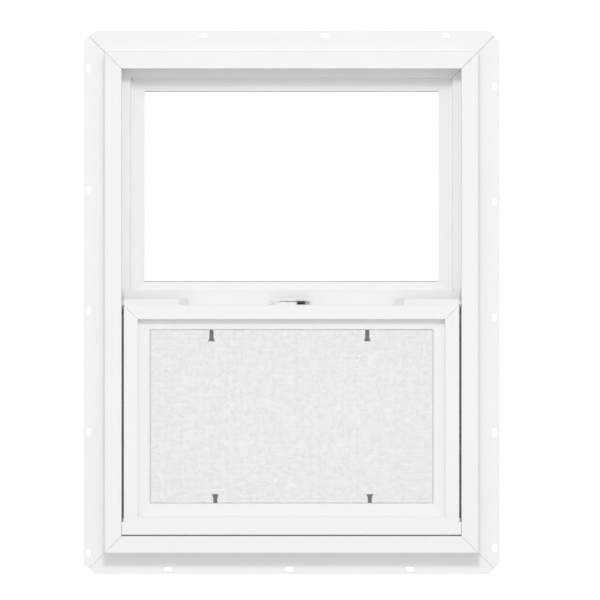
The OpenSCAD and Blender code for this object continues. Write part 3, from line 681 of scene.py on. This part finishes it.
@dataclass
class InsectScreen:
    """The half screen outside the sash: woven cloth, bars, spline and pull tabs."""

    strand: float = 0.00034
    layer_gap: float = 0.42
    upright_per_inch: float = 18.0
    level_per_inch: float = 16.0
    jitter: float = 0.00006
    tab_shaft: float = 0.677
    tab_taper: float = 0.0045
    tab_lip: float = 0.6
    ridges: int = 3
    ridge_from: float = 0.006
    ridge_pitch: float = 0.0016
    ridge_half: float = 0.0003
    ridge_rise: float = 0.0002
    ridge_sunk: float = 0.00001
    ridge_reach: float = 0.7

    def strands(self, bm: bmesh.types.BMesh, low: Vector, high: Vector, upright: bool) -> None:
        """Adds one layer of strands.

        Args:
            bm: The bmesh.
            low: The cloth's lowest corner.
            high: The cloth's highest corner.
            upright: True for the strands that stand, False for those that lie across.
        """
        draw = random.Random(SEED + upright)
        along, across = (2, 0) if upright else (0, 2)
        per_inch = self.upright_per_inch if upright else self.level_per_inch
        count = int((high[across] - low[across]) / INCH * per_inch)
        pitch = (high[across] - low[across]) / count
        middle = (low.y + high.y) / 2
        depth = middle + (self.strand * self.layer_gap) * (1 if upright else -1)
        half = self.strand / 2
        for i in range(count):
            at = low[across] + (i + 0.5) * pitch + draw.uniform(-self.jitter, self.jitter)
            start, stop = Vector((0, depth - half, 0)), Vector((0, depth + half, 0))
            start[along], stop[along] = low[along], high[along]
            start[across], stop[across] = at - half, at + half
            Shop.add_box(bm, start, stop)

    def build(self) -> None:
        """Makes the cloth and dresses the screen's solids."""
        low, high = node_box("screen_mesh")
        bm = bmesh.new()
        self.strands(bm, low, high, True)
        self.strands(bm, low, high, False)
        Shop.finish_piece("screen_cloth", bm, Body.FRAME.value, "screen_mesh", SCREEN_YARN,
                          ["screen_mesh"], smooth=None)
        ends = ("top", "bottom", "left", "right")
        WARDROBE.dress_nodes(SCREEN_ENAMEL, [f"screen_bar_{end}" for end in ends])
        WARDROBE.dress_nodes(SPLINE_VINYL, ["screen_spline"])
        WARDROBE.dress_nodes(GREY_NYLON, ["screen_corner_keys"])
        for row in ("top", "bottom"):
            for side in Side:
                self.pull_tab(f"pull_tab_{row}_{side.label}", row == "top")

    def pull_tab(self, node: str, hangs: bool) -> None:
        """Makes a moulded pull tab with a flared end and a thumb ridge.

        Args:
            node: The solid that it stands for.
            hangs: True if the flared end points down.
        """
        low, high = node_box(node)
        middle = (low.x + high.x) / 2
        flare = (high.x - low.x) / 2
        shaft = flare * self.tab_shaft
        tip, root, step = (low.z, high.z, 1) if hangs else (high.z, low.z, -1)
        taper = step * self.tab_taper
        right = [(shaft, root), (shaft, tip + taper), (flare, tip + taper * self.tab_lip), (flare, tip)]
        outline = [(middle + x, low.y, z) for x, z in right]
        outline += [(middle - x, low.y, z) for x, z in reversed(right)]
        bm = bmesh.new()
        Shop.prism(bm, outline, (0, high.y - low.y, 0))
        Shop.round_edges(bm, 0.00022)
        reach = shaft * self.ridge_reach
        for k in range(self.ridges):
            z = tip + step * (self.ridge_from + self.ridge_pitch * k)
            Shop.add_box(bm, (middle - reach, low.y - self.ridge_sunk, z - self.ridge_half),
                         (middle + reach, low.y + self.ridge_rise, z + self.ridge_half))
        Shop.finish_piece(node + "_moulded", bm, Body.FRAME.value, "pull_tab", PULL_TAB_VINYL, [node])


# ---------------------------------------------------------------- glazing


@dataclass
class Glazing:
    """The two sealed glass units with their spacers, blocks, beads and gasket."""

    lip_deep: float = 0.0023
    lip_high: float = 0.0008

    def build(self) -> None:
        """Dresses the glass units and their beads."""
        panes = [f"{unit}_{face}_pane" for unit in ("upper", "sash") for face in ("inner", "outer")]
        WARDROBE.dress_nodes(GLASS, panes)
        WARDROBE.dress_nodes(SPACER_ALUMINIUM, ["upper_glass_spacer", "sash_glass_spacer"])
        WARDROBE.dress_nodes(RUBBER, ["upper_setting_blocks", "sash_setting_blocks"])
        WARDROBE.dress_nodes(GASKET_RUBBER, ["sash_glazing_gasket"])
        for unit in ("upper", "sash"):
            WARDROBE.dress_nodes(BEAD_LEVEL, [f"{unit}_bead_{s}" for s in ("top", "bottom")])
            WARDROBE.dress_nodes(BEAD_UPRIGHT, [f"{unit}_bead_{s}" for s in ("left", "right")])
        self.shade_line_lip()

    def shade_line_lip(self) -> None:
        """Makes the black rubber lip under the top bead, against the upper glass: painted shade, a dark
        strip laid along the top only, where the bead's shade falls.
        """
        glass_face = node_box("upper_inner_pane")[0].y
        half, sight = node_box("upper_bead_right")[0].x, node_box("upper_bead_top")[0].z
        front, top = glass_face - self.lip_deep, sight + self.lip_high
        outline = [(front, top), (front, sight), (glass_face, sight), (glass_face, top)]
        bm = bmesh.new()
        Shop.prism(bm, [(-half, y, z) for y, z in outline], (2 * half, 0, 0))
        Shop.round_edges(bm, 0.0002)
        # Painted shade: this black strip runs along the top bead only and stands for the shade under
        # it.
        Shop.finish_piece("upper_shade_line_lip", bm, Body.FRAME.value, "black_rubber", RUBBER)


# ---------------------------------------------------------------- frame and sash


@dataclass
class Lineals:
    """The welded vinyl lineals of the frame and the sash."""

    def build(self) -> None:
        """Dresses the lineals."""
        WARDROBE.dress_nodes(FRAME_LEVEL, ["frame_head", "frame_sill", "meeting_rail"])
        WARDROBE.dress_nodes(FRAME_UPRIGHT, ["frame_jamb_left", "frame_jamb_right"])
        WARDROBE.dress_nodes(SASH_LEVEL, ["sash_top_rail", "sash_bottom_rail"])
        WARDROBE.dress_nodes(SASH_UPRIGHT, ["sash_stile_left", "sash_stile_right"])


@dataclass
class PileStrips:
    """Pile weatherstrips: a woven backing with rows of short yarn."""

    backing: float = 0.0007
    backing_share: float = 0.4
    tuft_pitch: float = 0.0011
    rows: int = 4
    tuft_w: float = 0.00045
    side_depth: float = 0.0037

    def strip(self, bm: bmesh.types.BMesh, low: Vector, high: Vector, out: Vector,
              draw: random.Random) -> None:
        """Adds one strip.

        Args:
            bm: The bmesh.
            low: The strip's lowest corner.
            high: The strip's highest corner.
            out: The way that the yarn points.
            draw: The source of the yarn's unevenness.
        """
        axis = max(range(3), key=lambda i: abs(out[i]))
        size = high - low
        along = max((i for i in range(3) if i != axis), key=lambda i: size[i])
        across = 3 - axis - along
        backing = min(self.backing, size[axis] * self.backing_share)
        b_low, b_high = low.copy(), high.copy()
        if out[axis] > 0:
            b_high[axis] = low[axis] + backing
        else:
            b_low[axis] = high[axis] - backing
        Shop.add_box(bm, b_low, b_high)
        foot = b_high[axis] if out[axis] > 0 else b_low[axis]
        reach = size[axis] - backing
        half = self.tuft_w / 2
        count = int(size[along] / self.tuft_pitch)
        for i in range(count):
            for r in range(self.rows):
                base = Vector((0, 0, 0))
                base[axis] = foot
                shift = 0.5 + draw.uniform(-0.3, 0.3)
                base[along] = low[along] + (i + shift) * size[along] / count
                base[across] = low[across] + (r + 0.5) * size[across] / self.rows
                tip = base.copy()
                tip[axis] += out[axis] * reach * draw.uniform(0.82, 0.99)
                lean = draw.uniform(-0.5, 0.5) * min(self.tuft_pitch, reach)
                tip[along] = min(max(tip[along] + lean, low[along] + half), high[along] - half)
                corners = []
                for da, dc in ((-half, -half), (half, -half), (half, half), (-half, half)):
                    corner = base.copy()
                    corner[along] = min(max(corner[along] + da, low[along]), high[along])
                    corner[across] = min(max(corner[across] + dc, low[across]), high[across])
                    corners.append(bm.verts.new(corner))
                top = bm.verts.new(tip)
                bm.faces.new(corners)
                for k in range(4):
                    bm.faces.new((corners[k], corners[(k + 1) % 4], top))

    def build(self) -> None:
        """Makes the three weatherstrips of the window."""
        draw = random.Random(SEED)
        low, high = node_box("sash_side_piles")
        left = (low, Vector((low.x + self.side_depth, high.y, high.z)), Vector((-1, 0, 0)))
        right = (Vector((high.x - self.side_depth, low.y, low.z)), high, Vector((1, 0, 0)))
        jobs = {"sash_side_piles": [left, right],
                "sash_bottom_pile": [(*node_box("sash_bottom_pile"), Vector((0, 1, 0)))],
                "meeting_rail_pile": [(*node_box("meeting_rail_pile"), Vector((0, -1, 0)))]}
        for name, strips in jobs.items():
            bm = bmesh.new()
            for strip_low, strip_high, out in strips:
                self.strip(bm, strip_low, strip_high, out, draw)
            bmesh.ops.recalc_face_normals(bm, faces=bm.faces)
            Shop.finish_piece(name.replace("pile", "yarn"), bm, body_of_node(name), "pile", PILE_YARN,
                              [name], smooth=None)


# ---------------------------------------------------------------- hardware


@dataclass
class ScrewSet:
    """Pan-head screws with a cross recess."""

    node: str
    head_r: float
    head_h: float
    shank_r: float = 0.002
    steps: int = 24
    point: float = 0.55
    neck: float = 0.98
    recess_arm: float = 0.55
    recess_half: float = 0.1
    recess_at: float = 0.93
    recess_deep: float = 0.2
    facing: Vector = field(default_factory=lambda: Vector((0, 0, 1)))

    def screw(self, bm: bmesh.types.BMesh, foot: Vector, head: Vector) -> None:
        """Adds a screw.

        Args:
            bm: The bmesh.
            foot: The point end of the shank.
            head: The seat under the head.
        """
        turn = Vector((0, 0, 1)).rotation_difference(self.facing).to_matrix().to_4x4()
        length = (head - foot).length
        bmesh.ops.create_cone(bm, cap_ends=True, segments=self.steps,
                              radius1=self.shank_r * self.point, radius2=self.shank_r * self.neck,
                              depth=length, matrix=Matrix.Translation((foot + head) / 2) @ turn)
        place = Matrix.Translation(head) @ turn
        dome = bmesh.ops.create_uvsphere(bm, u_segments=self.steps, v_segments=12, radius=1.0,
                                         matrix=Matrix.Identity(4))["verts"]
        for v in dome:
            v.co.z = max(v.co.z, 0.0)
        squeeze = Matrix.Diagonal((self.head_r, self.head_r, self.head_h, 1))
        bmesh.ops.transform(bm, verts=dome, matrix=place @ squeeze)
        arm, half = self.head_r * self.recess_arm, self.head_r * self.recess_half
        level = Matrix.Translation((0, 0, self.head_h * self.recess_at))
        for a, b in ((arm, half), (half, arm)):
            size = Matrix.Diagonal((2 * a, 2 * b, self.head_h * self.recess_deep, 1))
            slot = bmesh.ops.create_cube(bm, size=1.0, matrix=place @ level @ size)["verts"]
            for face in {f for v in slot for f in v.link_faces}:
                face.material_index = 1

    def build(self, places: Sequence[tuple[Vector, Vector]], body: str) -> None:
        """Makes the set.

        Args:
            places: The foot and the head's seat of each screw.
            body: The body that they ride on.
        """
        bm = bmesh.new()
        for foot, head in places:
            self.screw(bm, foot, head)
        bmesh.ops.remove_doubles(bm, verts=bm.verts, dist=1e-7)
        obj = Shop.finish_piece(self.node + "_headed", bm, body, "steel", WHITE_ENAMEL, [self.node])
        obj.data.materials.append(WARDROBE.get(STEEL))


@dataclass
class SashHardware:
    """Tilt latches, sweep lock, keeper and their screws."""

    latch_screw_pitch: float = 0.081
    lock_y: float = -0.024
    spindle_r: float = 0.003
    boss_r: float = 0.0095
    arm_in: float = 0.0103
    arm_out: float = 0.0215
    arm_half: float = 0.004
    arm_low: float = 0.4306
    arm_inset: float = 0.0001
    plate_t: float = 0.0013
    lever_tip_r: float = 0.0045
    lever_drop: float = 0.0015
    arc_steps: int = 16
    latch_head_h: float = 0.001
    lock_head_h: float = 0.0012
    keeper_head_h: float = 0.0003

    def lever(self) -> None:
        """Makes the sweep lever: a tapered arm with a round end and softened edges."""
        low, high = node_box("lock_lever")
        tip = Vector((low.x + self.lever_tip_r, self.lock_y - self.lever_drop, low.z))
        hub = Vector((0, self.lock_y, low.z))
        bm = bmesh.new()
        outline = []
        for middle, radius, start, stop in ((hub, high.x, -100, 100), (tip, self.lever_tip_r, 97, 263)):
            for k in range(self.arc_steps + 1):
                a = math.radians(start + (stop - start) * k / self.arc_steps)
                outline.append(middle + Vector((radius * math.cos(a), radius * math.sin(a), 0)))
        Shop.prism(bm, outline, (0, 0, high.z - low.z))
        Shop.round_edges(bm, 0.0007, segments=3)
        Shop.finish_piece("lock_lever_rounded", bm, Body.LOCK.value, "white_nylon", WHITE_ENAMEL,
                          ["lock_lever"])

    def cam(self) -> None:
        """Makes the cam's zinc plate and spindle, and its black hook."""
        low, high = node_box("lock_cam")
        plate_low = high.z - self.plate_t
        bm = bmesh.new()
        for radius, steps, bottom, top in ((self.spindle_r, 24, low.z, plate_low),
                                           (self.boss_r, 40, plate_low, high.z)):
            place = Matrix.Translation((0, self.lock_y, (bottom + top) / 2))
            bmesh.ops.create_cone(bm, cap_ends=True, segments=steps, radius1=radius,
                                  radius2=radius, depth=top - bottom, matrix=place)
        Shop.add_box(bm, (low.x, self.lock_y - self.arm_half, plate_low + self.arm_inset),
                     (self.arm_in, self.lock_y + self.arm_half, high.z - self.arm_inset))
        Shop.finish_piece("lock_cam_plate", bm, Body.LOCK.value, "steel", CAM_ZINC, ["lock_cam"])
        bm = bmesh.new()
        Shop.add_box(bm, (self.arm_in, self.lock_y - self.arm_half, self.arm_low),
                     (self.arm_out, self.lock_y + self.arm_half, high.z))
        Shop.round_edges(bm, 0.0004)
        Shop.finish_piece("lock_cam_hook", bm, Body.LOCK.value, "black_cast", CAST_BLACK, ["lock_cam"])

    def screws(self) -> None:
        """Makes the screws of the latches, the lock and the keeper."""
        low, high = node_box("latch_screws")
        seat = high.z - self.latch_head_h
        head_r, y = (high.y - low.y) / 2, (low.y + high.y) / 2
        outer = high.x - head_r
        at = [side.value * x for side in Side for x in (outer, outer - self.latch_screw_pitch)]
        ScrewSet("latch_screws", head_r, self.latch_head_h).build(
            [(Vector((x, y, low.z)), Vector((x, y, seat))) for x in at], Body.SASH.value)
        low, high = node_box("lock_screws")
        seat = high.z - self.lock_head_h
        head_r, y = (high.y - low.y) / 2, (low.y + high.y) / 2
        ScrewSet("lock_screws", head_r, self.lock_head_h).build(
            [(Vector((x, y, low.z)), Vector((x, y, seat))) for x in (low.x + head_r, high.x - head_r)],
            Body.SASH.value)
        low, high = node_box("keeper_screws")
        height = (low.z + high.z) / 2
        half = (high.z - low.z) / 2
        seat = low.y + self.keeper_head_h
        heads = ScrewSet("keeper_screws", half, self.keeper_head_h, half * 0.95,
                         facing=Vector((0, -1, 0)))
        heads.build([(Vector((x, high.y, height)), Vector((x, seat, height)))
                     for x in (low.x + half, high.x - half)], Body.FRAME.value)

    def build(self) -> None:
        """Dresses the hardware's solids and makes its fine pieces."""
        WARDROBE.dress_nodes(WHITE_NYLON, [f"latch_{piece}_{side.label}"
                                           for piece in ("housing", "bolt") for side in Side])
        WARDROBE.dress_nodes(WHITE_ENAMEL, ["lock_base", "lock_keeper"])
        WARDROBE.dress_nodes(CAM_ZINC, ["lock_cam_tip"])
        self.lever()
        self.cam()
        self.screws()


@dataclass
class Balances:
    """Coil balances, ribbons, shoes and pivot bars in the jamb channels."""

    cup: float = 0.0006
    cup_steps: int = 8

    def ribbon(self, side: Side) -> None:
        """Makes a cupped steel ribbon.

        Args:
            side: Which jamb it runs in.
        """
        node = f"balance_ribbon_{side.label}"
        low, high = node_box(node)
        size = high - low
        outline = []
        for k in range(self.cup_steps + 1):
            t = k / self.cup_steps
            bow = self.cup * (1 - (2 * t - 1) ** 2) * -side.value
            outline.append((low.x + bow, low.y + t * size.y, low.z))
        back = [(x + size.x, y, z) for x, y, z in reversed(outline)]
        bm = bmesh.new()
        Shop.prism(bm, outline + back, (0, 0, size.z))
        piece = Shop.finish_piece(node + "_steel", bm, Body.FRAME.value, "steel", SPRING_STEEL, [node])
        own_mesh(piece)

    def build(self) -> None:
        """Makes both sides' balances."""
        for side in Side:
            self.ribbon(side)
            WARDROBE.dress_nodes(WHITE_NYLON, [f"coil_balance_{side.label}"])
            WARDROBE.dress_nodes(GREY_NYLON, [f"pivot_shoe_{side.label}"])
            WARDROBE.dress_nodes(STEEL, [f"pivot_bar_{side.label}"])


# ---------------------------------------------------------------- studio


@dataclass
class Studio:
    """Pale floor, white surround, soft key light and the camera."""

    camera_x: float = 0.0135
    camera_z: float = 0.4378
    camera_far: float = 19.0
    view_width: float = 0.9558
    key_far: float = 7.0
    key_size: float = 1.25
    key_watts: float = 134.0
    key_turn: float = 0.6
    key_rise: float = 28.0
    surround: float = 0.15
    front_glow: float = 1.20
    front_tightness: float = 6.0
    side_glow: float = 0.44
    top_glow: float = 0.28
    beyond: float = 1.25
    floor_z: float = -0.6
    floor_half: float = 4.0
    front_way: tuple[float, float, float] = (0, -1, 0.25)

    def floor(self) -> None:
        """Makes the pale floor."""
        bm = bmesh.new()
        bmesh.ops.create_grid(bm, x_segments=8, y_segments=8, size=self.floor_half,
                              matrix=Matrix.Translation((0, 0, self.floor_z)))
        mesh = bpy.data.meshes.new("floor")
        bm.to_mesh(mesh)
        bm.free()
        obj = bpy.data.objects.new("floor", mesh)
        bpy.context.scene.collection.objects.link(obj)
        WARDROBE.dress(obj, FLOOR_PAINT)

    def key(self) -> None:
        """Makes the soft key light, high in front and a little to the right."""
        data = bpy.data.lights.new("key", "AREA")
        data.shape = "DISK"
        data.size = self.key_size
        data.energy = self.key_watts
        data.color = (1.0, 0.995, 0.985)
        light = bpy.data.objects.new("key", data)
        rise, turn = math.radians(self.key_rise), math.radians(self.key_turn)
        level = math.cos(rise)
        way = Vector((math.sin(turn) * level, -math.cos(turn) * level, math.sin(rise)))
        light.location = Vector((0, 0, self.camera_z)) + way * self.key_far
        light.rotation_euler = (-way).to_track_quat("-Z", "Y").to_euler()
        light.visible_camera = False
        bpy.context.scene.collection.objects.link(light)

    def world(self) -> None:
        """Makes the white surround: bright where it is looked at, softer where it lights."""
        world = bpy.data.worlds.new("surround")
        world.use_nodes = True
        graph = Nodes(world.node_tree)
        way = graph.add("ShaderNodeTexCoord")
        facing = graph.add("ShaderNodeVectorMath", operation="DOT_PRODUCT")
        facing.inputs[1].default_value = Vector(self.front_way).normalized()
        graph.link(way, "Generated", facing, 0)
        axes = graph.add("ShaderNodeSeparateXYZ")
        graph.link(way, "Generated", axes, 0)
        toward = graph.math("ABSOLUTE", (facing, "Value"))
        narrow = graph.math("POWER", (toward, 0), self.front_tightness)
        front = graph.math("MULTIPLY", (narrow, 0), self.front_glow)
        base = graph.math("ADD", (front, 0), self.surround)
        sideways = graph.math("MULTIPLY", (axes, "X"), (axes, "X"))
        sided = graph.math("MULTIPLY_ADD", (sideways, 0), self.side_glow, (base, 0))
        above = graph.math("MAXIMUM", (axes, "Z"), 0.0)
        strength = graph.math("MULTIPLY_ADD", (above, 0), self.top_glow, (sided, 0))
        paths = graph.add("ShaderNodeLightPath")
        seen = graph.math("MAXIMUM", (paths, "Is Camera Ray"), (paths, "Is Transmission Ray"))
        mix = graph.add("ShaderNodeMixShader")
        graph.link(seen, 0, mix, "Fac")
        for into in (1, 2):
            light = graph.add("ShaderNodeBackground")
            light.inputs["Color"].default_value = (1, 1, 1, 1)
            light.inputs["Strength"].default_value = self.beyond
            if into == 1:
                graph.link(strength, 0, light, "Strength")
            graph.link(light, 0, mix, into)
        out = graph.add("ShaderNodeOutputWorld")
        graph.link(mix, 0, out, "Surface")
        bpy.context.scene.world = world

    def camera(self) -> None:
        """Makes the camera, level and square to the window, far enough off to see it flat."""
        data = bpy.data.cameras.new("camera")
        data.sensor_width = 36.0
        data.lens = data.sensor_width * self.camera_far / self.view_width
        data.clip_end = 200.0
        camera = bpy.data.objects.new("camera", data)
        face = CAD_BOX[0][1]
        camera.location = (self.camera_x, face - self.camera_far, self.camera_z)
        camera.rotation_euler = (math.pi / 2, 0, 0)
        bpy.context.scene.collection.objects.link(camera)
        bpy.context.scene.camera = camera

    def build(self) -> None:
        """Sets up the studio."""
        bpy.context.scene.view_settings.view_transform = "Standard"
        self.camera()
        self.world()
        self.key()
        self.floor()


def main() -> None:
    """Builds the studio and every sub-assembly in order."""
    logging.basicConfig(level=logging.INFO, format="%(name)s: %(message)s")
    Studio().build()
    Lineals().build()
    Glazing().build()
    InsectScreen().build()
    PileStrips().build()
    SashHardware().build()
    Balances().build()


if __name__ == "__main__":
    main()
